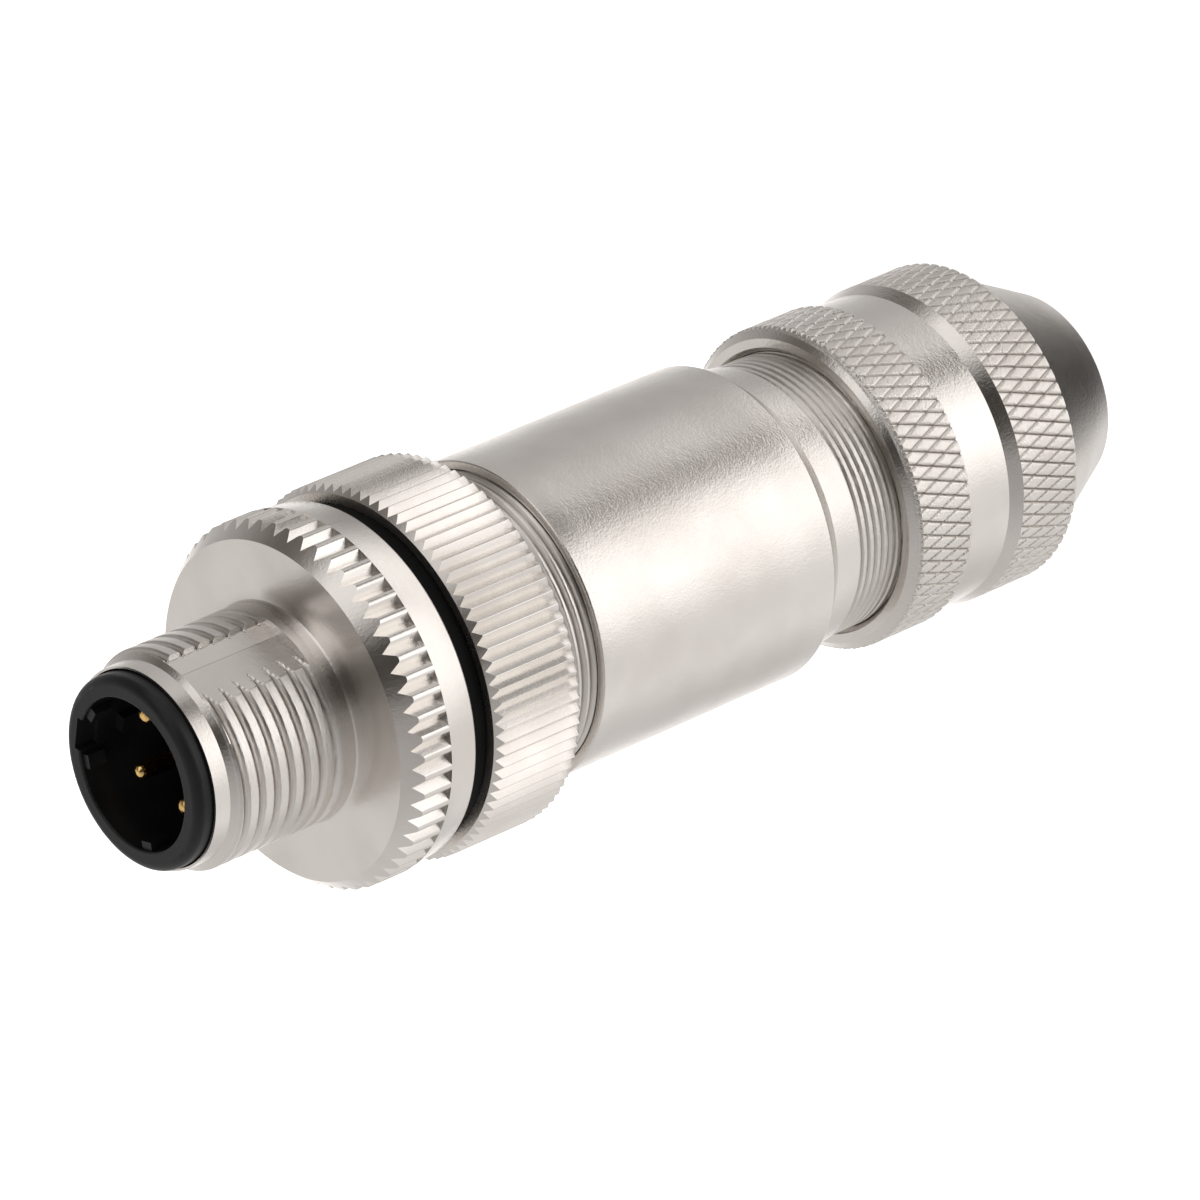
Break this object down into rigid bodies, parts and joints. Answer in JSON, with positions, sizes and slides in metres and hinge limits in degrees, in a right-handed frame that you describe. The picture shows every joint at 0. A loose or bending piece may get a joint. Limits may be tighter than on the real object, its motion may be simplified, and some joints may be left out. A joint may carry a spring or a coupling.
{
  "type": "plug connector",
  "caption": "Straight screened round plug with a threaded coupling screw, knurled rings, pin contacts in a keyed cavity, a smooth sleeve and a cable clamp nut.",
  "frame": {"origin": "centre of the clamp nut's end face, which the connector stands on", "axes": "+Z along the connector towards the mating face; +X and +Y through the contact pins"},
  "size_m": [0.0206, 0.0206, 0.0646],
  "materials": {
    "nickel_coupling": "satin nickel plate over turned brass",
    "nickel_ring": "satin nickel plate over turned brass",
    "nickel_sleeve": "fine-grained satin nickel plate over turned brass",
    "nickel_nut": "satin nickel plate over turned brass",
    "inner_nickel": "plain nickel plate",
    "spring_steel": "bare spring steel",
    "gold_contact": "polished gold plate",
    "plated_screw": "plated small screw",
    "insert_plastic": "satin black moulded plastic",
    "washer_plastic": "black plastic",
    "cage_plastic": "dark plastic",
    "seal_rubber": "matt black rubber"
  },
  "bodies": {
    "sleeve": {"housing_sleeve": "nickel_sleeve", "spacer_sleeve": "inner_nickel"},
    "insert": {"contact_carrier": "insert_plastic", "contact_pin_1": "gold_contact", "contact_pin_2": "gold_contact", "contact_pin_3": "gold_contact", "contact_pin_4": "gold_contact", "terminal_screw_1": "plated_screw", "terminal_screw_2": "plated_screw", "terminal_screw_3": "plated_screw", "terminal_screw_4": "plated_screw", "retaining_clip": "spring_steel", "spacer_washer": "washer_plastic", "carrier_seal": "seal_rubber"},
    "coupling": {"coupling_screw": "nickel_coupling"},
    "locking": {"locking_ring": "nickel_ring"},
    "gland": {"thrust_washer": "inner_nickel", "clamping_cage": "cage_plastic", "gland_seal": "seal_rubber", "shield_ring": "inner_nickel"},
    "nut": {"clamp_nut": "nickel_nut"}
  },
  "joints": [
    {"name": "insert_draw", "type": "slide", "parent": "sleeve", "child": "insert", "axis": [0, 0, 1], "range_m": [-0.0027, 0.0015]},
    {"name": "locking_turn", "type": "hinge", "parent": "insert", "child": "locking", "pos_m": [0, 0, 0.0459], "axis": [0, 0, 1], "range_deg": [-1620.5, 900.5]},
    {"name": "coupling_turn", "type": "hinge", "parent": "insert", "child": "coupling", "pos_m": [0, 0, 0.0535], "axis": [0, 0, 1], "continuous": true},
    {"name": "gland_press", "type": "slide", "parent": "sleeve", "child": "gland", "axis": [0, 0, 1], "range_m": [-0.002, 0.0026]},
    {"name": "nut_turn", "type": "hinge", "parent": "gland", "child": "nut", "pos_m": [0, 0, 0.0099], "axis": [0, 0, 1], "range_deg": [-1440.5, 1872.5]}
  ],
  "couplings": [
    {"joint": "locking_turn", "follows": "insert_draw", "rad_per_m": 10472},
    {"joint": "nut_turn", "follows": "gland_press", "rad_per_m": 12566}
  ]
}
